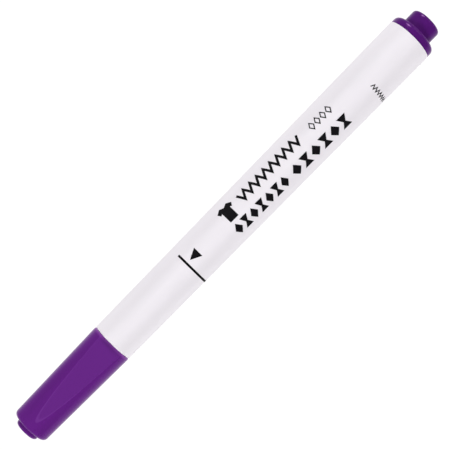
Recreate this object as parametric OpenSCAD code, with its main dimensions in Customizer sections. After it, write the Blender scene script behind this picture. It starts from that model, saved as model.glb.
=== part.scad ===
// Fabric marking pen, capped: a round tapered barrel with a nib section pressed into its front,
// a fibre nib fed by a wrapped reservoir, a stepped plug in its tail and a pull-off cap with a flat.
// It lies along X: the nib and the cap point to -X, the tail plug to +X, and the cap's flat faces up.
// The origin is under the middle of the pen, on the surface that it lies on. Sizes in millimetres.

/* [Barrel] */
// Length of the barrel, from its front face to the tail plug's flange
barrel_len = 100.7; // [80:0.05:130]
// Diameter of the barrel at its front face
barrel_front_d = 10.76; // [9.6:0.01:14]
// How much wider the barrel is at its tail
barrel_flare = 1.37; // [0:0.01:2]
// Wall of the barrel between its two seats
barrel_wall = 1.2; // [1:0.05:1.5]
// Wall of the barrel around the seat at each end
seat_wall = 0.9; // [0.7:0.05:1.1]
// Rounding of the barrel's front edge
barrel_front_round = 0.35; // [0.1:0.05:0.5]
// Number of ribs inside the barrel that hold the reservoir
rib_count = 6; // [3:1:8]
// Width of each rib
rib_w = 0.8; // [0.5:0.1:1.2]
// Height of the ribs at the front of the barrel's bore
rib_h = 0.3; // [0.2:0.05:0.5]
// Free length behind the ribs, up to the tail end of the reservoir
rib_stop = 8; // [4:0.5:20]

/* [Cap] */
// Length of the cap's shell, from its closed end to its mouth
cap_len = 27.85; // [22:0.1:34]
// How far the cap's mouth stands proud of the barrel, all round
cap_proud = 0.045; // [0:0.005:0.2]
// How much narrower the cap is at its closed end than at its mouth
cap_taper = 1.15; // [0:0.01:1.6]
// Wall of the cap where the flat is deepest
cap_wall = 0.65; // [0.5:0.05:1]
// Wall of the cap at its closed end
cap_end_wall = 1.5; // [1:0.1:2.5]
// Rounding of the edge at the closed end
cap_end_round = 1.1; // [0.3:0.05:1.5]
// Chamfer around the outside of the mouth
lip_chamfer = 0.5; // [0.1:0.05:0.8]
// Lead-in chamfer around the inside of the mouth
lip_lead = 0.3; // [0.1:0.05:0.5]
// Depth of the flat at the mouth
flat_depth = 1.12; // [0.5:0.01:1.4]
// Distance from the closed end to the tip of the flat
flat_start = 3.25; // [1.5:0.05:10]
// Turn of the flat around the pen, from straight up towards -Y
flat_turn = 2.5; // [-180:0.5:180]
// Diameter of the round nub on the closed end
nub_d = 6; // [4:0.1:7.5]
// Length of the nub
nub_len = 1.3; // [0.8:0.05:3]
// Rounding of the nub's edge
nub_round = 0.8; // [0.1:0.05:0.8]

/* [Cap liner] */
// Wall of the liner's tube
liner_wall = 0.7; // [0.5:0.05:0.9]
// Wall of the liner's closed end
liner_end_wall = 0.8; // [0.5:0.05:1.2]
// How far the liner reaches over the sealing collar
seal_overlap = 3; // [1.5:0.1:3.5]
// Gap around the sealing collar, on the radius
seal_play = 0.05; // [0.02:0.01:0.1]

/* [Front section] */
// Gap between the cap's bore and the neck, on the radius
cap_play = 0.1; // [0.05:0.01:0.1]
// Length of the spigot that is pressed into the barrel
spigot_len = 8; // [5:0.5:12]
// Length of the sealing collar in front of the neck
collar_len = 4; // [3.5:0.1:6]
// Length of the nose cone
nose_len = 3.5; // [2:0.1:6]
// How much the nose narrows, on the radius
nose_step = 0.8; // [0.3:0.05:1]
// Wall of the nose around the nib
nose_wall = 0.6; // [0.5:0.05:0.7]
// Wall of the hollow neck
neck_wall = 1; // [0.7:0.05:1.3]
// Wall of the hollow spigot
spigot_wall = 1; // [0.8:0.05:1.2]
// Wall of the shoulder that joins the neck to the spigot
shoulder_web = 1.2; // [0.8:0.1:2]
// Distance from the shoulder to the middle of the snap bead
bead_back = 3; // [2:0.1:4]
// Height of the snap bead
bead_h = 0.07; // [0.03:0.01:0.08]
// Width of the snap bead
bead_w = 1; // [0.6:0.1:1.4]
// Gap between the snap bead and its groove in the cap, on the radius
bead_play = 0.05; // [0.03:0.01:0.1]
// Number of air channels along the nib
vent_count = 3; // [2:1:6]
// Width of each air channel
vent_w = 0.5; // [0.3:0.05:0.8]
// Depth of each air channel
vent_depth = 0.3; // [0.2:0.05:0.4]

/* [Nib and reservoir] */
// Length of nib outside the nose
nib_out = 5; // [3:0.1:7]
// Length of the nib's tapered point
nib_point = 3; // [1:0.1:4]
// Radius of the round end of the nib
nib_tip_r = 0.55; // [0.3:0.05:0.6]
// Free space in front of the nib inside the closed cap
tip_gap = 2; // [1:0.1:4]
// How far the nib reaches into the reservoir
nib_in = 6; // [3:0.5:12]
// Thickness of the film around the reservoir
film_t = 0.12; // [0.08:0.01:0.3]

/* [Tail plug] */
// Length of the plug's spigot inside the barrel
plug_spigot_len = 8; // [5:0.5:12]
// Wall of the plug's spigot
plug_spigot_wall = 0.9; // [0.7:0.05:1.2]
// Thickness of the plug's flange
flange_len = 2.4; // [1.5:0.05:4]
// How far the flange stands in from the barrel's outside, all round
flange_step = 0.08; // [0:0.01:0.3]
// Rounding of the flange's edge
flange_round = 1.4; // [0.3:0.05:1.45]
// Diameter of the stud
stud_d = 8; // [7:0.1:9.5]
// Length of the stud
stud_len = 3.95; // [3:0.05:8]
// Rounding of the stud's edge
stud_round = 0.8; // [0.2:0.05:1]
// Wall at the closed end of the plug
plug_end_wall = 1.3; // [0.8:0.1:2]
// Length of the fingers that press on the reservoir
finger_len = 4; // [2:0.5:8]
// Thickness of the fingers
finger_wall = 0.9; // [0.6:0.05:1.2]
// Width of the slots between the fingers
finger_slot = 2; // [1:0.1:3]
// Gap between the fingers' outside and the reservoir's outside, on the radius
finger_inset = 0.1; // [0.05:0.05:0.4]

/* [Hidden] */

$fn = 96;
eps = 0.01;
past = 1;

pen_white = "#ece7ed";
pen_violet = "#5f2a7d";
ink_violet = "#3b1760";
film_clear = "#dfe6ee";

// Places along the pen, from the end of the nub
cap_closed_at = nub_len;
shoulder_at = cap_closed_at + cap_len;
flange_at = shoulder_at + barrel_len;
stud_at = flange_at + flange_len;
pen_len = stud_at + stud_len;
cap_floor_at = cap_closed_at + cap_end_wall;
liner_floor_at = cap_floor_at + liner_end_wall;
nib_tip_at = liner_floor_at + tip_gap;
nose_at = nib_tip_at + nib_out;
collar_at = nose_at + nose_len;
neck_at = collar_at + collar_len;
liner_mouth_at = collar_at + seal_overlap;
bead_at = shoulder_at - bead_back;
spigot_end_at = shoulder_at + spigot_len;
nib_rear_at = spigot_end_at + nib_in;
plug_front_at = flange_at - plug_spigot_len;
reservoir_rear_at = plug_front_at - finger_len;
rib_rear_at = reservoir_rear_at - rib_stop;
plug_floor_at = pen_len - plug_end_wall;

// Radii, from the outside of the pen inwards
barrel_front_r = barrel_front_d / 2;
barrel_rear_r = barrel_front_r + barrel_flare / 2;
front_seat_r = barrel_front_r - seat_wall;
rear_seat_r = barrel_rear_r - seat_wall;
bore_front_r = barrel_front_r - barrel_wall;
bore_rear_r = barrel_rear_r - barrel_wall;
reservoir_r = bore_front_r - rib_h;
core_r = reservoir_r - film_t;
cap_mouth_r = barrel_front_r + cap_proud;
cap_end_r = cap_mouth_r - cap_taper / 2;
cap_bore_r = cap_mouth_r - flat_depth - cap_wall;
neck_r = cap_bore_r - cap_play;
liner_bore_r = cap_bore_r - liner_wall;
collar_r = liner_bore_r - seal_play;
nose_r = collar_r - nose_step;
nib_r = nose_r - nose_wall;
neck_bore_r = neck_r - neck_wall;
spigot_bore_r = front_seat_r - spigot_wall;
flange_r = barrel_rear_r - flange_step;
stud_r = stud_d / 2;
finger_r = reservoir_r - finger_inset;
plug_bore_r = finger_r - finger_wall;
plug_spigot_bore_r = rear_seat_r - plug_spigot_wall;

// The height of the pen's axis: the tail is the thickest part and rests on the surface
axis_h = max(barrel_rear_r, cap_mouth_r);

// Radius of the cap's outside at a distance from its closed end
function cap_r(d) = cap_end_r + (cap_mouth_r - cap_end_r) * d / cap_len;

// Stands a shape that was made along +Z, from the end of the nub, on the pen's own axis
module on_axis() {
    translate([-pen_len / 2, 0, axis_h]) rotate([0, 90, 0]) children();
}

// Turns a half outline, radius across and place along the pen upwards, into a round solid
module turned() {
    on_axis() rotate_extrude() children();
}

// A half outline with straight sides from one radius and place to another
module taper(r1, at1, r2, at2) {
    polygon([[0, at1], [r1, at1], [r2, at2], [0, at2]]);
}

// What is cut away to round an outer edge of radius r at a place: side is 1 where the solid
// ends towards the tail and -1 where it ends towards the nib
module edge_waste(r, at, round_r, side) {
    translate([r - round_r, at - side * round_r]) difference() {
        translate([0, side > 0 ? 0 : -round_r - eps]) square([round_r + past, round_r + eps]);
        circle(round_r);
    }
}

// A shallow ring section that stands proud of a radius by rise and is w wide
module bead_outline(r, at, rise, w) {
    round_r = (rise * rise + w * w / 4) / (2 * rise);
    translate([r + rise - round_r, at]) intersection() {
        circle(round_r);
        translate([round_r - rise - eps, -w]) square([rise + past, 2 * w]);
    }
}

module barrel() {
    color(pen_white) {
        turned() difference() {
            taper(barrel_front_r, shoulder_at, barrel_rear_r, flange_at);
            edge_waste(barrel_front_r, shoulder_at, barrel_front_round, -1);
            taper(front_seat_r, shoulder_at - past, front_seat_r, spigot_end_at);
            taper(bore_front_r, spigot_end_at - eps, bore_rear_r, plug_front_at + eps);
            taper(rear_seat_r, plug_front_at, rear_seat_r, flange_at + past);
        }
        barrel_ribs();
    }
}

// Ribs that stand on the bore and hold the reservoir in the middle, with air around it
module barrel_ribs() {
    root_front_r = bore_front_r + barrel_wall / 2;
    root_rear_r = bore_rear_r + barrel_wall / 2;
    intersection() {
        on_axis() for (i = [0 : rib_count - 1]) rotate(i * 360 / rib_count)
            translate([0, -rib_w / 2, spigot_end_at])
                cube([root_rear_r, rib_w, rib_rear_at - spigot_end_at]);
        turned() difference() {
            taper(root_front_r, spigot_end_at, root_rear_r, plug_front_at);
            taper(reservoir_r, spigot_end_at - past, reservoir_r, plug_front_at + past);
        }
    }
}

module front_section() {
    color(pen_white) difference() {
        turned() difference() {
            union() {
                taper(front_seat_r, shoulder_at, front_seat_r, spigot_end_at);
                taper(neck_r, neck_at, neck_r, shoulder_at + eps);
                taper(collar_r, collar_at, collar_r, neck_at + eps);
                taper(nose_r, nose_at, collar_r, collar_at + eps);
                bead_outline(neck_r, bead_at, bead_h, bead_w);
            }
            taper(nib_r, nose_at - past, nib_r, spigot_end_at + past);
            taper(neck_bore_r, neck_at, neck_bore_r, spigot_end_at + past);
            taper(spigot_bore_r, shoulder_at + shoulder_web, spigot_bore_r, spigot_end_at + past);
        }
        vents();
    }
}

// Channels along the nib that let air back to the reservoir
module vents() {
    on_axis() for (i = [0 : vent_count - 1]) rotate(i * 360 / vent_count)
        translate([0, -vent_w / 2, nose_at - past])
            cube([nib_r + vent_depth, vent_w, neck_at - nose_at + 2 * past]);
}

module nib() {
    nib_ball_at = nib_tip_at + nib_tip_r;
    color(ink_violet) turned() {
        intersection() {
            translate([0, nib_ball_at]) circle(nib_tip_r);
            translate([0, nib_tip_at - past]) square([nib_tip_r + past, nib_tip_r + past]);
        }
        taper(nib_tip_r, nib_ball_at, nib_r, nib_tip_at + nib_point);
        taper(nib_r, nib_tip_at + nib_point, nib_r, nib_rear_at);
    }
}

module reservoir_core() {
    color(ink_violet) turned() difference() {
        taper(core_r, spigot_end_at, core_r, reservoir_rear_at);
        taper(nib_r, spigot_end_at - past, nib_r, nib_rear_at);
    }
}

module reservoir_film() {
    color(film_clear) turned() difference() {
        taper(reservoir_r, spigot_end_at, reservoir_r, reservoir_rear_at);
        taper(core_r, spigot_end_at - past, core_r, reservoir_rear_at + past);
    }
}

module tail_plug() {
    color(pen_violet) difference() {
        turned() difference() {
            union() {
                taper(finger_r, reservoir_rear_at, finger_r, flange_at + eps);
                difference() {
                    taper(rear_seat_r, plug_front_at, rear_seat_r, flange_at + eps);
                    taper(plug_spigot_bore_r, plug_front_at - past, plug_spigot_bore_r, flange_at + past);
                }
                taper(flange_r, flange_at, flange_r, stud_at);
                taper(stud_r, stud_at - eps, stud_r, pen_len);
            }
            intersection() {
                edge_waste(flange_r, stud_at, flange_round, 1);
                translate([stud_r, flange_at]) square([flange_r, flange_len + past]);
            }
            edge_waste(stud_r, pen_len, stud_round, 1);
            taper(plug_bore_r, reservoir_rear_at - past, plug_bore_r, plug_floor_at);
        }
        finger_slots();
    }
}

// Crossed slots that part the plug's front ring into four fingers
module finger_slots() {
    slot_span = 2 * (finger_r + past);
    on_axis() for (turn = [0, 90]) rotate(turn)
        translate([-slot_span / 2, -finger_slot / 2, reservoir_rear_at - past])
            cube([slot_span, finger_slot, finger_len + past]);
}

module cap() {
    color(pen_violet) difference() {
        turned() difference() {
            union() {
                difference() {
                    taper(cap_end_r, cap_closed_at, cap_mouth_r, shoulder_at);
                    edge_waste(cap_end_r, cap_closed_at, cap_end_round, -1);
                    mouth_waste();
                }
                difference() {
                    taper(nub_d / 2, 0, nub_d / 2, cap_closed_at + eps);
                    edge_waste(nub_d / 2, 0, nub_round, -1);
                }
            }
            taper(cap_bore_r, cap_floor_at, cap_bore_r, shoulder_at + past);
            taper(cap_bore_r, shoulder_at - lip_lead, cap_bore_r + lip_lead + eps, shoulder_at + eps);
            bead_outline(cap_bore_r, bead_at, bead_h + bead_play, bead_w + 2 * bead_play);
        }
        flat_waste();
    }
}

// The chamfer around the outside of the mouth
module mouth_waste() {
    polygon([
        [cap_r(cap_len - lip_chamfer), shoulder_at - lip_chamfer],
        [cap_mouth_r + past, shoulder_at - lip_chamfer],
        [cap_mouth_r + past, shoulder_at + past],
        [cap_mouth_r - lip_chamfer - past, shoulder_at + past],
    ]);
}

// What is above the flat, a plane that leaves the cap's surface near the closed end and is
// deepest at the mouth
module flat_waste() {
    flat_run = cap_len - flat_start;
    flat_drop = cap_r(flat_start) - (cap_mouth_r - flat_depth);
    flat_slope = atan(flat_drop / flat_run);
    block = 2 * cap_mouth_r;
    on_axis() rotate(180 + flat_turn)
        translate([cap_r(flat_start), 0, cap_closed_at + flat_start]) rotate([0, -flat_slope, 0])
            translate([0, -block / 2, -block]) cube([block, block, block + flat_run + block]);
}

module cap_liner() {
    color(pen_white) turned() difference() {
        taper(cap_bore_r, cap_floor_at, cap_bore_r, liner_mouth_at);
        taper(liner_bore_r, liner_floor_at, liner_bore_r, liner_mouth_at + past);
    }
}

barrel();
front_section();
nib();
reservoir_core();
reservoir_film();
tail_plug();
cap();
cap_liner();
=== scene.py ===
"""Looks of a capped fabric marking pen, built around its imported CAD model.

The pen lies along X on a plain white floor: the cap and nib towards -X, the tail plug towards +X.
Everything is in metres, in the frame of the CAD model.
"""

import math

import bmesh
import bpy
from mathutils import Matrix, Vector


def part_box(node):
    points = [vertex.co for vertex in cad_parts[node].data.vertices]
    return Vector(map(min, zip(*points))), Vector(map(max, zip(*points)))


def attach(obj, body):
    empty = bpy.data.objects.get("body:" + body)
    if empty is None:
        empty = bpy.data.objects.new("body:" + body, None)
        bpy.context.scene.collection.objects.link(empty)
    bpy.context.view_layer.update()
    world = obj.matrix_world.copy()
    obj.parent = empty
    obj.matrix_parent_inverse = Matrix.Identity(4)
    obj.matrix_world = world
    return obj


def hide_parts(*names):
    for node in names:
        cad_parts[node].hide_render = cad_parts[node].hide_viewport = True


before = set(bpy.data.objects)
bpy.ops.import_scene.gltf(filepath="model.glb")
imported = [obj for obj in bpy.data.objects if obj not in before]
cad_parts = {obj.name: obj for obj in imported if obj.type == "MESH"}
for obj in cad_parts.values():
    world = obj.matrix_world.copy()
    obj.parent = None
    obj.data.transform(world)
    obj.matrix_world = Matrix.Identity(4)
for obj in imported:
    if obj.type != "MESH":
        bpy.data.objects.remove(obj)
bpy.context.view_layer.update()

MM = 0.001

# ---------------------------------------------------------------- places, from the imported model
barrel_low, barrel_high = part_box("barrel")
cap_low, cap_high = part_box("cap")
plug_low, plug_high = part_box("tail_plug")

AXIS_Z = (barrel_low.z + barrel_high.z) / 2
NUB_X = cap_low.x
MOUTH_X = cap_high.x
FLANGE_X = barrel_high.x
END_X = plug_high.x
BARREL_REAR_R = (barrel_high.z - barrel_low.z) / 2

# The barrel is narrower at its front than its box, so this radius is given here.
BARREL_FRONT_R = 5.38 * MM

# ---------------------------------------------------------------- camera
# The camera stands over the pen, a little to one side of its axis, and looks down with a small tilt
# towards the tail. Angles are in degrees, and the lens and sensor in millimetres.
CAMERA_OVER_X = -11.15 * MM
CAMERA_SIDE_Y = 0.45 * MM
CAMERA_HEIGHT = 316.4 * MM
CAMERA_TILT = 1.93
CAMERA_ROLL = 45.587
CAMERA_LENS = 106.8
CAMERA_SENSOR = 36.0
CAMERA_NEAR = 0.01


def make_camera():
    """A camera over the pen, tilted a little towards the tail, with the pen across the frame's diagonal."""
    tilt, roll = math.radians(CAMERA_TILT), math.radians(CAMERA_ROLL)
    forward = Vector((math.sin(tilt), 0, -math.cos(tilt)))
    along = Vector((math.cos(tilt), 0, math.sin(tilt)))
    across = Vector((0, -1, 0))
    right = along * math.cos(roll) + across * math.sin(roll)
    up = along * math.sin(roll) - across * math.cos(roll)
    turn = Matrix((right, up, -forward)).transposed().to_4x4()
    data = bpy.data.cameras.new("camera")
    data.lens = CAMERA_LENS
    data.sensor_width = CAMERA_SENSOR
    data.clip_start = CAMERA_NEAR
    camera = bpy.data.objects.new("camera", data)
    place = Vector((CAMERA_OVER_X, CAMERA_SIDE_Y, AXIS_Z + CAMERA_HEIGHT))
    camera.matrix_world = Matrix.Translation(place) @ turn
    bpy.context.scene.collection.objects.link(camera)
    bpy.context.scene.camera = camera


# ---------------------------------------------------------------- materials
# Colours
WHITE = (0.86, 0.825, 0.87)
VIOLET = (0.119, 0.0145, 0.214)
# Painted light on the cap's flat: paler than the plastic, standing in for the extra light the flat catches.
FLAT_PAINTED_LIGHT = (0.127, 0.0195, 0.224)
# A painted highlight on the line along the flat's edge.
EDGE_PAINTED_HIGHLIGHT = (0.150, 0.028, 0.256)
# Painted light on the lip at the mouth: a painted highlight that also paints over the shade from the
# barrel's shoulder.
LIP_PAINTED_LIGHT = (0.25, 0.065, 0.37)
PLUG_VIOLET = (0.080, 0.0082, 0.155)
NIB_INK = (0.030, 0.004, 0.075)
NIB_INK_LIGHTER = 1.8
PRINT_BLACKS = ((0.0045, 0.004, 0.005), (0.008, 0.007, 0.009))
FILM_TINTS = ((0.80, 0.84, 0.90), (0.92, 0.94, 0.97))
FILM_ALPHA = 0.35

# Gloss. Flow is how far the tone of a moulding varies; the tint colours what the violets reflect.
PLASTIC_IOR = 1.49
WHITE_LOOK = dict(rough=0.55, gloss=0.35, flow=0.015)
VIOLET_LOOK = dict(rough=0.18, gloss=0.34, flow=0.05, tint=(0.9, 0.4, 1.0), sheen=0.38)
ROUGH_VARIES = 0.15
SHEEN_ROUGH = 0.3
SHEEN_VIOLET = (0.76, 0.16, 0.88)
PRINT_GLOSS = 0.12
PRINT_ROUGH = (0.45, 0.6)
FIBRE_ROUGH = (0.6, 0.85)
FILM_ROUGH = (0.12, 0.3)

# Noise: cells to a metre, along and across the pen where they differ
FLOW_CELLS = (60, 400, 400)
SKIN_CELLS = 9000.0
WAVE_CELLS = 500.0
GLOSS_CELLS = 2500.0
FIBRE_CELLS = (300, 12000, 12000)
WRINKLE_CELLS = (150, 900, 900)
INK_TONE_CELLS = 5000.0
INK_GLOSS_CELLS = 4000.0
INK_SKIN_CELLS = 7000.0

# Bump heights, in metres, with their strengths
SKIN_BUMP = (1.5e-6, 0.6)
WAVE_BUMP = (6e-6, 0.6)
INK_BUMP = (2e-6, 0.5)
FIBRE_BUMP = (2e-5, 0.8)
FILM_BUMP = (2e-5, 0.5)

# Painted light on the cap: the painted highlight along the flat's edge starts and ends at these shares of
# FLAT_BLEND under the flat, with a fade. The lip's painted light grows over its length, up to the mouth.
EDGE_SHARES = (0.65, 0.42)
EDGE_FADE = 0.01 * MM
LIP_PAINTED_SPAN = 0.8 * MM

# Sockets of the Mix node when it mixes colours, where several share one name
MIX_FACTOR, MIX_FIRST, MIX_SECOND, MIX_RESULT = 0, 6, 7, 2


class Shader:
    """A material's node tree, with short calls for the nodes that the looks here use."""

    def __init__(self, name):
        self.material = bpy.data.materials.new(name)
        self.material.use_nodes = True
        self.nodes = self.material.node_tree.nodes
        self.links = self.material.node_tree.links
        self.bsdf = self.nodes["Principled BSDF"]
        self.place = self.nodes.new("ShaderNodeTexCoord").outputs["Object"]

    def link(self, output, node, socket):
        """Joins an output to one of a node's inputs, given by name or by number."""
        self.links.new(output, node.inputs[socket])

    def stretched(self, scale):
        """Object coordinates, scaled differently along each axis."""
        node = self.nodes.new("ShaderNodeMapping")
        node.inputs["Scale"].default_value = scale
        self.link(self.place, node, "Vector")
        return node.outputs["Vector"]

    def reach(self, way):
        """How far a point lies along a direction, from the frame's origin."""
        node = self.nodes.new("ShaderNodeVectorMath")
        node.operation = "DOT_PRODUCT"
        node.inputs[1].default_value = way
        self.link(self.place, node, 0)
        return node.outputs["Value"]

    def noise(self, scale, detail=2.0, vector=None):
        """Soft noise over the object coordinates, or over another vector."""
        node = self.nodes.new("ShaderNodeTexNoise")
        node.inputs["Scale"].default_value = scale
        node.inputs["Detail"].default_value = detail
        self.link(vector or self.place, node, "Vector")
        return node.outputs["Fac"]

    def spread(self, value, low, high, from_low=0.3, from_high=0.7):
        """A value turned from its own range, which is a noise's if none is given, into low to high."""
        node = self.nodes.new("ShaderNodeMapRange")
        node.inputs["From Min"].default_value = from_low
        node.inputs["From Max"].default_value = from_high
        node.inputs["To Min"].default_value = low
        node.inputs["To Max"].default_value = high
        self.link(value, node, "Value")
        return node.outputs["Result"]

    def blend(self, value, first, second):
        """A colour between two, each of which is a colour or another node's output."""
        node = self.nodes.new("ShaderNodeMix")
        node.data_type = "RGBA"
        for socket, part in ((MIX_FIRST, first), (MIX_SECOND, second)):
            if isinstance(part, bpy.types.NodeSocket):
                self.link(part, node, socket)
            else:
                node.inputs[socket].default_value = (*part, 1)
        self.link(value, node, MIX_FACTOR)
        return node.outputs[MIX_RESULT]

    def bump(self, height, distance, strength, over=None):
        """A normal that follows a height, laid over another bump if one is given."""
        node = self.nodes.new("ShaderNodeBump")
        node.inputs["Strength"].default_value = strength
        node.inputs["Distance"].default_value = distance
        self.link(height, node, "Height")
        if over:
            self.link(over, node, "Normal")
        return node.outputs["Normal"]

    def finish(self, color, roughness, normal, **values):
        """Wires the three outputs to the surface, sets its other values, and gives the material."""
        for output, socket in ((color, "Base Color"), (roughness, "Roughness"), (normal, "Normal")):
            self.link(output, self.bsdf, socket)
        for socket, value in values.items():
            self.bsdf.inputs[socket.replace("_", " ")].default_value = value
        return self.material


def moulded_plastic(name, color, rough, gloss, flow, tint=(1, 1, 1), sheen=0.0, paint=None):
    """Injection-moulded plastic: a faint flow of tone along the pen, uneven gloss and a fine skin."""
    shader = Shader(name)
    tone = shader.spread(shader.noise(1.0, detail=3.0, vector=shader.stretched(FLOW_CELLS)), 0.0, 1.0)
    base = shader.blend(tone, [c * (1 - flow) for c in color], [c * (1 + flow) for c in color])
    if paint:
        base = paint(shader, base)
    skin = shader.noise(SKIN_CELLS)
    wave = shader.noise(WAVE_CELLS, detail=1.0)
    uneven = shader.noise(GLOSS_CELLS, detail=3.0)
    return shader.finish(
        color=base,
        roughness=shader.spread(uneven, rough * (1 - ROUGH_VARIES), rough * (1 + ROUGH_VARIES)),
        normal=shader.bump(skin, *SKIN_BUMP, shader.bump(wave, *WAVE_BUMP)),
        Specular_IOR_Level=gloss,
        Specular_Tint=(*tint, 1),
        Sheen_Weight=sheen,
        Sheen_Roughness=SHEEN_ROUGH,
        Sheen_Tint=(*SHEEN_VIOLET, 1),
        IOR=PLASTIC_IOR,
    )


def violet_cap(name):
    """The cap's plastic with painted light: its flat is painted a little paler, and its edges paler still,
    as painted highlights.

    The edges are the line all round the flat and the thin lip at the mouth, whose paler paint also covers
    the shade from the barrel's shoulder.
    """
    at_start, at_mouth = flat_height(NUB_X), flat_height(MOUTH_X)
    fall = (at_mouth - at_start) / (MOUTH_X - NUB_X)
    turn = math.radians(FLAT_TURN)
    plane = at_start - fall * NUB_X + AXIS_Z * math.cos(turn)

    def paint(shader, base):
        """Painted light by position: a painted highlight on the edge line, the flat inside it painted
        paler, and then the lip.
        """
        height = shader.reach((-fall, -math.sin(turn), math.cos(turn)))
        edge_low, edge_high = (plane - FLAT_BLEND * share * MM for share in EDGE_SHARES)
        on_edge = shader.spread(height, 0.0, 1.0, edge_low - EDGE_FADE, edge_low)
        on_flat = shader.spread(height, 0.0, 1.0, edge_high, edge_high + EDGE_FADE)
        on_lip = shader.spread(shader.reach((1, 0, 0)), 0.0, 1.0, MOUTH_X - LIP_PAINTED_SPAN, MOUTH_X)
        # Painted highlights on the edge line and the lip, and painted light on the flat, laid over the
        # plastic's colour.
        base = shader.blend(on_edge, base, EDGE_PAINTED_HIGHLIGHT)
        base = shader.blend(on_flat, base, FLAT_PAINTED_LIGHT)
        return shader.blend(on_lip, base, LIP_PAINTED_LIGHT)

    return moulded_plastic(name, VIOLET, **VIOLET_LOOK, paint=paint)


def ink_print(name):
    """Black pad-printed ink: a thin satin film that is a little uneven."""
    shader = Shader(name)
    tone = shader.spread(shader.noise(INK_TONE_CELLS, detail=3.0), 0.0, 1.0)
    return shader.finish(
        color=shader.blend(tone, *PRINT_BLACKS),
        roughness=shader.spread(shader.noise(INK_GLOSS_CELLS), *PRINT_ROUGH),
        normal=shader.bump(shader.noise(INK_SKIN_CELLS), *INK_BUMP),
        Specular_IOR_Level=PRINT_GLOSS,
    )


def bonded_fibre(name, color):
    """Fibres bonded into a rod, which run along the pen, soaked with ink."""
    shader = Shader(name)
    fibres = shader.noise(1.0, detail=4.0, vector=shader.stretched(FIBRE_CELLS))
    lighter = [c * NIB_INK_LIGHTER for c in color]
    return shader.finish(
        color=shader.blend(shader.spread(fibres, 0.0, 1.0), color, lighter),
        roughness=shader.spread(fibres, *FIBRE_ROUGH),
        normal=shader.bump(fibres, *FIBRE_BUMP),
    )


def clear_film(name):
    """Thin clear film with faint wrinkles."""
    shader = Shader(name)
    wrinkles = shader.noise(1.0, detail=3.0, vector=shader.stretched(WRINKLE_CELLS))
    return shader.finish(
        color=shader.blend(shader.spread(wrinkles, 0.0, 1.0), *FILM_TINTS),
        roughness=shader.spread(wrinkles, *FILM_ROUGH),
        normal=shader.bump(wrinkles, *FILM_BUMP),
        Alpha=FILM_ALPHA,
    )


def dress(obj, material):
    """Leaves an object with one material."""
    obj.data.materials.clear()
    obj.data.materials.append(material)


def dress_nodes():
    """Gives each CAD node its material. The cap and the tail plug get pieces of their own."""
    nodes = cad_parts
    white = moulded_plastic("white_plastic", WHITE, **WHITE_LOOK)
    ink = bonded_fibre("ink_fibre", NIB_INK)
    for node in ("barrel", "front_section", "cap_liner"):
        dress(nodes[node], white)
    make_cap(violet_cap("violet_plastic"))
    make_tail_plug(moulded_plastic("plug_plastic", PLUG_VIOLET, **VIOLET_LOOK))
    for node in ("nib", "reservoir_core"):
        dress(nodes[node], ink)
    dress(nodes["reservoir_film"], clear_film("clear_film"))


# ---------------------------------------------------------------- turned and printed shapes
SEGMENTS = 192
ARC_STEPS = 6
ON_AXIS = 1e-9


def corner(before, at, after, radius):
    """Rounds one corner of a half outline: the points of an arc that touches both of its sides."""
    a, b, c = Vector(before), Vector(at), Vector(after)
    to_a, to_c = (a - b).normalized(), (c - b).normalized()
    half = to_a.angle(to_c) / 2
    reach = radius / math.tan(half)
    center = b + (to_a + to_c).normalized() * (radius / math.sin(half))
    start, end = b + to_a * reach - center, b + to_c * reach - center
    turn = start.angle_signed(end)
    points = []
    for i in range(ARC_STEPS + 1):
        angle = -turn * i / ARC_STEPS
        spoke = Vector((
            start.x * math.cos(angle) - start.y * math.sin(angle),
            start.x * math.sin(angle) + start.y * math.cos(angle),
        ))
        points.append(tuple(center + spoke))
    return points


def softened(outline):
    """A half outline with its corners rounded. Each entry is x, r and the rounding of that corner."""
    points = []
    for i, (x, r, rounding) in enumerate(outline):
        if rounding:
            before, after = outline[i - 1][:2], outline[(i + 1) % len(outline)][:2]
            points += corner(before, (x, r), after, rounding)
        else:
            points.append((x, r))
    return points


def spread_long_sides(points, longest):
    """Adds points so that no side of the outline is longer than the given length."""
    dense = []
    for i, point in enumerate(points):
        following = points[(i + 1) % len(points)]
        parts = max(1, math.ceil(math.dist(point, following) / longest))
        for k in range(parts):
            share = k / parts
            dense.append((
                point[0] + (following[0] - point[0]) * share,
                point[1] + (following[1] - point[1]) * share,
            ))
    return dense


def turned_mesh(name, outline, body, material, radius_at=None, segments=SEGMENTS):
    """A closed solid made by turning a closed half outline about the pen's axis.

    radius_at(x, r, angle) may change the radius around the axis. A point on the axis closes an end.
    """
    bm = bmesh.new()
    rings = []
    for x, r in outline:
        if r < ON_AXIS:
            rings.append([bm.verts.new((x, 0, AXIS_Z))])
            continue
        ring = []
        for k in range(segments):
            angle = 2 * math.pi * k / segments
            radius = radius_at(x, r, angle) if radius_at else r
            ring.append(bm.verts.new((x, -radius * math.sin(angle), AXIS_Z + radius * math.cos(angle))))
        rings.append(ring)
    for first, second in zip(rings, rings[1:] + rings[:1]):
        join_rings(bm, first, second)
    bmesh.ops.recalc_face_normals(bm, faces=bm.faces)
    return add_piece(name, bm, body, material)


def join_rings(bm, first, second):
    """Faces between two rings, or between a ring and a point on the axis."""
    if len(first) == 1 and len(second) == 1:
        return
    if len(first) == 1:
        first, second = second, first
    count = len(first)
    for k in range(count):
        following = (k + 1) % count
        if len(second) == 1:
            bm.faces.new((first[k], first[following], second[0]))
        else:
            bm.faces.new((first[k], first[following], second[following], second[k]))


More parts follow.
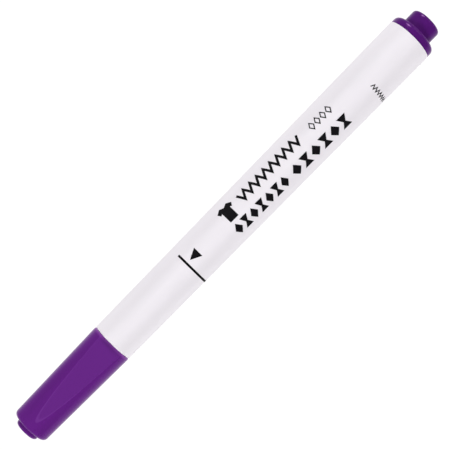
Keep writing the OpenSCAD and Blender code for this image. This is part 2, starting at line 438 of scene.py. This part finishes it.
def add_piece(name, bm, body, material, smooth=True):
    """Turns a bmesh into a named piece that rides on a body."""
    mesh = bpy.data.meshes.new(name)
    bm.to_mesh(mesh)
    bm.free()
    mesh.polygons.foreach_set("use_smooth", [smooth] * len(mesh.polygons))
    obj = bpy.data.objects.new(name, mesh)
    obj.data.materials.append(material)
    bpy.context.scene.collection.objects.link(obj)
    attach(obj, body)
    return obj


# ---------------------------------------------------------------- printed marks
# Marks are laid out flat in millimetres: u along the pen from the cap's mouth, and v around it,
# from straight up towards -Y, as an arc at PRINT_R. Ink stands a little proud of the barrel.
PRINT_R = 5.6
PRINT_STRIP = 0.22
SAME_PLACE = 1e-5
INK_UNDER = 0.004 * MM
INK_OVER = 0.016 * MM


def barrel_radius(x):
    """The barrel's outside, which widens evenly from the cap's mouth to the tail."""
    share = (x - MOUTH_X) / (FLANGE_X - MOUTH_X)
    return BARREL_FRONT_R + (BARREL_REAR_R - BARREL_FRONT_R) * share


def on_barrel(u, v, lift):
    """The place in space of a point of the flat layout."""
    x = MOUTH_X + u * MM
    angle = v / PRINT_R
    radius = barrel_radius(x) + lift
    return (x, -radius * math.sin(angle), AXIS_Z + radius * math.cos(angle))


def printed(name, shapes, material):
    """Thin ink on the barrel: flat outlines, cut into narrow strips, wrapped and given a thickness."""
    bm = bmesh.new()
    for shape in shapes:
        bm.faces.new([bm.verts.new((u, v, 0)) for u, v in shape])
    bmesh.ops.remove_doubles(bm, verts=bm.verts, dist=SAME_PLACE)
    bmesh.ops.triangulate(bm, faces=bm.faces)
    low = min(v.co.y for v in bm.verts)
    high = max(v.co.y for v in bm.verts)
    for i in range(1, math.ceil((high - low) / PRINT_STRIP)):
        everything = bm.verts[:] + bm.edges[:] + bm.faces[:]
        bmesh.ops.bisect_plane(
            bm, geom=everything, plane_co=(0, low + i * PRINT_STRIP, 0), plane_no=(0, 1, 0)
        )
    top = bmesh.ops.extrude_face_region(bm, geom=bm.faces[:])["geom"]
    raised = {item for item in top if isinstance(item, bmesh.types.BMVert)}
    for vert in bm.verts:
        vert.co = on_barrel(vert.co.x, vert.co.y, INK_OVER if vert in raised else -INK_UNDER)
    bmesh.ops.recalc_face_normals(bm, faces=bm.faces)
    return add_piece(name, bm, "pen", material, smooth=False)


def stroke(points, width, closed=False):
    """A line of even width through the points, as quads that meet on the corners' mitres."""
    count = len(points)
    sides = []
    for i, point in enumerate(points):
        here = Vector(point)
        back = here - Vector(points[i - 1]) if i or closed else None
        ahead = Vector(points[(i + 1) % count]) - here if i < count - 1 or closed else None
        back = (back or ahead).normalized()
        ahead = (ahead or back).normalized()
        along = (back + ahead).normalized()
        across = Vector((-along.y, along.x)) * (width / 2 / along.dot(ahead))
        sides.append((here + across, here - across))
    quads = []
    for i in range(count if closed else count - 1):
        following = (i + 1) % count
        quads.append((sides[i][0], sides[i][1], sides[following][1], sides[following][0]))
    return quads


def moved(shape, u, v):
    """A flat outline, shifted."""
    return [(a + u, b + v) for a, b in shape]


def diamond(width, height):
    """A diamond about the origin."""
    return [(-width / 2, 0), (0, -height / 2), (width / 2, 0), (0, height / 2)]


def bowtie(width, height, waist):
    """Two triangles that meet, point to point, in a narrow waist."""
    w, h, n = width / 2, height / 2, waist / 2
    return [(-w, -h), (w, -h), (n, 0), (w, h), (-w, h), (-n, 0)]


# Where each group of marks lies: first and last u, lowest and highest v. A share is of a mark's
# own width, or of the space that each mark of a row has.
LINE_U = (25.35, 25.90)
LINE_V = (-3.5, 10.6)
ARROW = ((26.75, -0.57), (29.45, -1.95), (29.45, 0.80))
SHIRT_AT = (40.9, -2.05)
SHIRT_SIZE = 4.4
ZIGZAG_U = (44.9, 64.9)
ZIGZAG_V = (-3.4, -1.3)
ZIGZAG_TEETH = 9
ZIGZAG_WIDTH = 0.62
SMALL_U = (68.1, 75.4)
SMALL_V = (-3.25, -1.0)
SMALL_COUNT = 4
SMALL_SHARES = (0.72, 0.86)
SMALL_WIDTH = 0.27
BAND_ONE_U = (38.8, 56.6)
BAND_ONE_COUNT = 7
BAND_TWO_U = (57.8, 76.8)
BAND_TWO_COUNT = 6
BAND_V = (1.0, 4.05)
BAND_SHARE = 0.86
WAIST_SHARE = 0.22
SIDE_U = (85.3, 86.3)
SIDE_V = (1.1, 7.3)
SIDE_TEETH = 7
SIDE_WIDTH = 0.24


def shirt(size):
    """A plain short-sleeved shirt, with its neck towards -v."""
    half = [(0.13, -0.43), (0.24, -0.5), (0.52, -0.30), (0.40, -0.10), (0.29, -0.17), (0.29, 0.5)]
    neck = [(0, -0.36)]
    left = [(-u, v) for u, v in reversed(half)]
    return [(u * size, v * size) for u, v in half + left + neck]


def zigzag(u_range, v_range, teeth, width, around=False):
    """A zigzag stitch that runs along u, or along v when it goes around the pen."""
    start, end = v_range if around else u_range
    low, high = u_range if around else v_range
    points = []
    for i in range(2 * teeth + 1):
        along = start + (end - start) * i / (2 * teeth)
        across = high if i % 2 else low
        points.append((across, along) if around else (along, across))
    return stroke(points, width)


def band(u_range, v_range, count):
    """Bold diamonds and bowties in turn, as in an embroidered border."""
    pitch = (u_range[1] - u_range[0]) / count
    width = pitch * BAND_SHARE
    height = v_range[1] - v_range[0]
    middle = (v_range[0] + v_range[1]) / 2
    shapes = []
    for i in range(count):
        mark = bowtie(width, height, width * WAIST_SHARE) if i % 2 else diamond(width, height)
        shapes.append(moved(mark, u_range[0] + pitch * (i + 0.5), middle))
    return shapes


def small_row(u_range, v_range, count):
    """Small open diamonds."""
    pitch = (u_range[1] - u_range[0]) / count
    height = v_range[1] - v_range[0]
    middle = (v_range[0] + v_range[1]) / 2
    mark = diamond(pitch * SMALL_SHARES[0], height * SMALL_SHARES[1])
    shapes = []
    for i in range(count):
        shapes += stroke(moved(mark, u_range[0] + pitch * (i + 0.5), middle), SMALL_WIDTH, closed=True)
    return shapes


def cut_line(u_range, v_range):
    """A plain line around part of the barrel."""
    (u0, u1), (v0, v1) = u_range, v_range
    return [[(u0, v0), (u1, v0), (u1, v1), (u0, v1)]]


def print_barrel():
    """All the printed marks, each group as a piece of its own."""
    ink = ink_print("print_ink")
    printed("print_line", cut_line(LINE_U, LINE_V), ink)
    printed("print_arrow", [ARROW], ink)
    printed("print_shirt", [moved(shirt(SHIRT_SIZE), *SHIRT_AT)], ink)
    printed("print_zigzag", zigzag(ZIGZAG_U, ZIGZAG_V, ZIGZAG_TEETH, ZIGZAG_WIDTH), ink)
    printed("print_small_diamonds", small_row(SMALL_U, SMALL_V, SMALL_COUNT), ink)
    printed("print_band_one", band(BAND_ONE_U, BAND_V, BAND_ONE_COUNT), ink)
    printed("print_band_two", band(BAND_TWO_U, BAND_V, BAND_TWO_COUNT), ink)
    printed("print_side_zigzag", zigzag(SIDE_U, SIDE_V, SIDE_TEETH, SIDE_WIDTH, around=True), ink)


# ---------------------------------------------------------------- cap and plug
# Half outlines in millimetres: x along the pen, r from its axis, and the rounding of that corner.
# The gate marks are the shallow dimples in the nub's and the stud's ends.
NUB_R = 3.06
NUB_LEN = 1.3
NUB_ROUND = 0.75
NUB_FOOT = 0.14
CAP_LEN = 27.85
CAP_END_R = 4.85
CAP_MOUTH_R = 5.425
CAP_END_ROUND = 1.1
LIP_ROUND = 0.48
LIP_SHARE_ON_FLAT = 0.55
CAP_BORE_R = 3.655
LEAD_IN = 0.3
CAP_FLOOR = 1.5
GATE_R = 0.75
GATE_DEPTH = 0.12
GATE_FOOT_ROUND = 0.08
GATE_RIM_ROUND = 0.06
LEAD_IN_ROUND = 0.05
INSIDE_ROUND = 0.1

# The flat: where it starts, its depth at the mouth, its turn about the axis in degrees, and its
# blend into the shell. Close to the bore or to the closed end the cap stays round, and so it does
# where it faces the flat by less than FLAT_FACING, a cosine.
FLAT_START = 3.25
FLAT_DEPTH = 1.12
FLAT_TURN = 2.5
FLAT_BLEND = 0.07
FLAT_BORE_GAP = 0.4
FLAT_END_GAP = 0.01
FLAT_FACING = 0.3

# The longest side of the cap's outline, and its divisions around the axis
CAP_STEP = 0.3
CAP_SEGMENTS = 320


def flat_height(x):
    """Distance of the cap's flat from the pen's axis, at a place along the pen."""
    from_end = (x - NUB_X) / MM - NUB_LEN
    at_start = CAP_END_R + (CAP_MOUTH_R - CAP_END_R) * FLAT_START / CAP_LEN
    at_mouth = CAP_MOUTH_R - FLAT_DEPTH
    share = (from_end - FLAT_START) / (CAP_LEN - FLAT_START)
    return (at_start + (at_mouth - at_start) * share) * MM


def lip_drop(x, r):
    """How far the rounded lip at the mouth has fallen from the cap's outside."""
    if MOUTH_X - x > LIP_ROUND * MM:
        return 0.0
    return min(max(0.0, CAP_MOUTH_R * MM - r), LIP_ROUND * MM)


def cap_radius(x, r, angle):
    """The cap's outside: the round shell and the flat, blended softly where they meet.

    The bore, the nub and the sides that face away from the flat stay round.
    """
    if r < (CAP_BORE_R + FLAT_BORE_GAP) * MM or (x - NUB_X) / MM < NUB_LEN + FLAT_END_GAP:
        return r
    facing = math.cos(angle - math.radians(FLAT_TURN))
    if facing < FLAT_FACING:
        return r
    flat = (flat_height(x) - lip_drop(x, r) * LIP_SHARE_ON_FLAT) / facing
    gap = (r - flat) / MM
    return (r + flat) / 2 - math.sqrt(gap * gap + FLAT_BLEND * FLAT_BLEND) / 2 * MM


def make_cap(material):
    """The cap's shell, with a gate mark in the nub's end and a lead-in at its mouth.

    The snap groove in the CAD model's bore is left out.
    """
    x0 = NUB_X / MM
    closed = x0 + NUB_LEN
    mouth = closed + CAP_LEN
    outline = [
        (x0 + GATE_DEPTH, 0, 0),
        (x0 + GATE_DEPTH, GATE_R, GATE_FOOT_ROUND),
        (x0, GATE_R + GATE_DEPTH, GATE_RIM_ROUND),
        (x0, NUB_R, NUB_ROUND),
        (closed, NUB_R, NUB_FOOT),
        (closed, CAP_END_R, CAP_END_ROUND),
        (mouth, CAP_MOUTH_R, LIP_ROUND),
        (mouth, CAP_BORE_R + LEAD_IN, LEAD_IN_ROUND),
        (mouth - LEAD_IN, CAP_BORE_R, LEAD_IN_ROUND),
        (closed + CAP_FLOOR, CAP_BORE_R, INSIDE_ROUND),
        (closed + CAP_FLOOR, 0, 0),
    ]
    points = spread_long_sides(softened(outline), CAP_STEP)
    points = [(x * MM, r * MM) for x, r in points]
    cap = turned_mesh("cap_shell", points, "cap", material, cap_radius, CAP_SEGMENTS)
    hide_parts("cap")


FLANGE_LEN = 2.4
FLANGE_R = 5.985
FLANGE_FACE_FALL = 0.3
FLANGE_ROUND = 1.15
FLANGE_EDGE = 0.08
STUD_R = 4.0
STUD_ROUND = 0.8
STUD_FOOT = 0.12
SPIGOT_R = 5.165
SPIGOT_BORE_R = 4.265
SPIGOT_LEN = 8.0
PLUG_FLOOR = 1.3
FINGER_BORE_R = 2.88
FINGER_R = 3.78
FINGER_LEN = 4.0
PLUG_STEP = 0.6


def make_tail_plug(material):
    """The tail plug: domed flange, stud with a gate mark, and the spigot inside the barrel.

    The CAD model's four fingers are one ring here, without slots, out of sight in the barrel.
    """
    flange = FLANGE_X / MM
    stud = flange + FLANGE_LEN
    end = END_X / MM
    spigot = flange - SPIGOT_LEN
    outline = [
        (end - PLUG_FLOOR, 0, 0),
        (end - PLUG_FLOOR, FINGER_BORE_R, INSIDE_ROUND),
        (spigot - FINGER_LEN, FINGER_BORE_R, INSIDE_ROUND),
        (spigot - FINGER_LEN, FINGER_R, INSIDE_ROUND),
        (flange, FINGER_R, 0),
        (flange, SPIGOT_BORE_R, 0),
        (spigot, SPIGOT_BORE_R, INSIDE_ROUND),
        (spigot, SPIGOT_R, INSIDE_ROUND),
        (flange, SPIGOT_R, 0),
        (flange, FLANGE_R, FLANGE_EDGE),
        (stud - FLANGE_FACE_FALL, FLANGE_R, FLANGE_ROUND),
        (stud, STUD_R, STUD_FOOT),
        (end, STUD_R, STUD_ROUND),
        (end, GATE_R + GATE_DEPTH, GATE_RIM_ROUND),
        (end - GATE_DEPTH, GATE_R, GATE_FOOT_ROUND),
        (end - GATE_DEPTH, 0, 0),
    ]
    points = spread_long_sides(softened(outline), PLUG_STEP)
    points = [(x * MM, r * MM) for x, r in points]
    plug = turned_mesh("plug_body", points, "pen", material)
    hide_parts("tail_plug")


# ---------------------------------------------------------------- stage
FLOOR_HALF = 30.0
FLOOR_GLOW = 1.06

# Brightness of the studio around the pen, by direction. Left is towards +Y. The ceiling is dim, and
# the table is brighter on its right and brightest under the pen. Each change from one to the next
# runs over a range of the direction's Y or Z, which go from -1 to 1.
CEILING_LEFT = 0.24
CEILING_RIGHT = 0.13
CEILING_Y = (-0.5, 0.5)
TABLE_LEFT = 0.26
TABLE_RIGHT = 0.50
TABLE_Y = (-0.3, 0.3)
TABLE_BELOW = 0.8
TABLE_Z = (-0.9, -0.1)
HORIZON_Z = (-0.06, 0.06)

# Four soft boxes, off the pen's four corners. Turns are about Z from +X, and rises from level.
BOX_DISTANCE = 0.65
BOX_SIZE = 0.20
BOX_RISE = 27.0
BOX_TURNS = (45.0, 135.0, 225.0, 315.0)
GLOSSY_BOX = 0
BOX_POWER = (1.97, 1.97, 2.31, 1.67)

# A soft panel past the tail, as far away as the boxes, for the thin light lines on edges
PANEL_TURN = 0.0
PANEL_RISE = 28.0
PANEL_SIZE = (0.35, 0.12)
PANEL_POWER = 0.3


def make_floor():
    """A plain white backdrop. It only shows to the camera, and neither lights nor shades the pen."""
    mesh = bpy.data.meshes.new("floor")
    corners = [(-1, -1), (1, -1), (1, 1), (-1, 1)]
    mesh.from_pydata([(x * FLOOR_HALF, y * FLOOR_HALF, 0) for x, y in corners], [], [(0, 1, 2, 3)])
    material = bpy.data.materials.new("white_backdrop")
    material.use_nodes = True
    tree = material.node_tree
    tree.nodes.clear()
    out = tree.nodes.new("ShaderNodeOutputMaterial")
    glow = tree.nodes.new("ShaderNodeEmission")
    glow.inputs["Color"].default_value = (1, 1, 1, 1)
    glow.inputs["Strength"].default_value = FLOOR_GLOW
    tree.links.new(glow.outputs["Emission"], out.inputs["Surface"])
    floor = bpy.data.objects.new("floor", mesh)
    floor.data.materials.append(material)
    floor.visible_diffuse = False
    floor.visible_glossy = False
    floor.visible_shadow = False
    bpy.context.scene.collection.objects.link(floor)


def make_studio():
    """Soft light from all around, set by direction."""
    world = bpy.data.worlds.new("studio")
    world.use_nodes = True
    tree = world.node_tree
    way = tree.nodes.new("ShaderNodeTexCoord").outputs["Generated"]
    split = tree.nodes.new("ShaderNodeSeparateXYZ")
    tree.links.new(way, split.inputs["Vector"])

    def ramp(direction, across, low, high):
        """A smooth change from low to high, each a number or an output, across a range."""
        node = tree.nodes.new("ShaderNodeMapRange")
        node.interpolation_type = "SMOOTHSTEP"
        node.inputs["From Min"].default_value, node.inputs["From Max"].default_value = across
        for socket, level in (("To Min", low), ("To Max", high)):
            if isinstance(level, float):
                node.inputs[socket].default_value = level
            else:
                tree.links.new(level, node.inputs[socket])
        tree.links.new(split.outputs[direction], node.inputs["Value"])
        return node.outputs["Result"]

    ceiling = ramp("Y", CEILING_Y, CEILING_RIGHT, CEILING_LEFT)
    edge = ramp("Y", TABLE_Y, TABLE_RIGHT, TABLE_LEFT)
    table = ramp("Z", TABLE_Z, TABLE_BELOW, edge)
    around = ramp("Z", HORIZON_Z, table, ceiling)
    tree.links.new(around, tree.nodes["Background"].inputs["Strength"])
    tree.nodes["Background"].inputs["Color"].default_value = (1, 1, 1, 1)
    bpy.context.scene.world = world


def add_light(name, turn, rise, size, power):
    """A rectangular soft light that faces the pen's middle, from a turn and a rise in degrees."""
    turn, rise = math.radians(turn), math.radians(rise)
    away = Vector((math.cos(turn) * math.cos(rise), math.sin(turn) * math.cos(rise), math.sin(rise)))
    data = bpy.data.lights.new(name, "AREA")
    data.shape = "RECTANGLE"
    data.size, data.size_y = size
    data.energy = power
    light = bpy.data.objects.new(name, data)
    light.location = Vector((0, 0, AXIS_Z)) + away * BOX_DISTANCE
    light.rotation_euler = away.to_track_quat("Z", "Y").to_euler()
    bpy.context.scene.collection.objects.link(light)
    return light


def add_lights():
    """Four soft boxes around the pen and the panel. Only the panel and one box show in the gloss."""
    for number, (turn, power) in enumerate(zip(BOX_TURNS, BOX_POWER)):
        box = add_light(f"soft_box_{number}", turn, BOX_RISE, (BOX_SIZE, BOX_SIZE), power)
        box.visible_glossy = number == GLOSSY_BOX
    add_light("end_panel", PANEL_TURN, PANEL_RISE, PANEL_SIZE, PANEL_POWER)


make_camera()
make_floor()
make_studio()
add_lights()
dress_nodes()
print_barrel()
bpy.context.scene.view_settings.view_transform = "Standard"
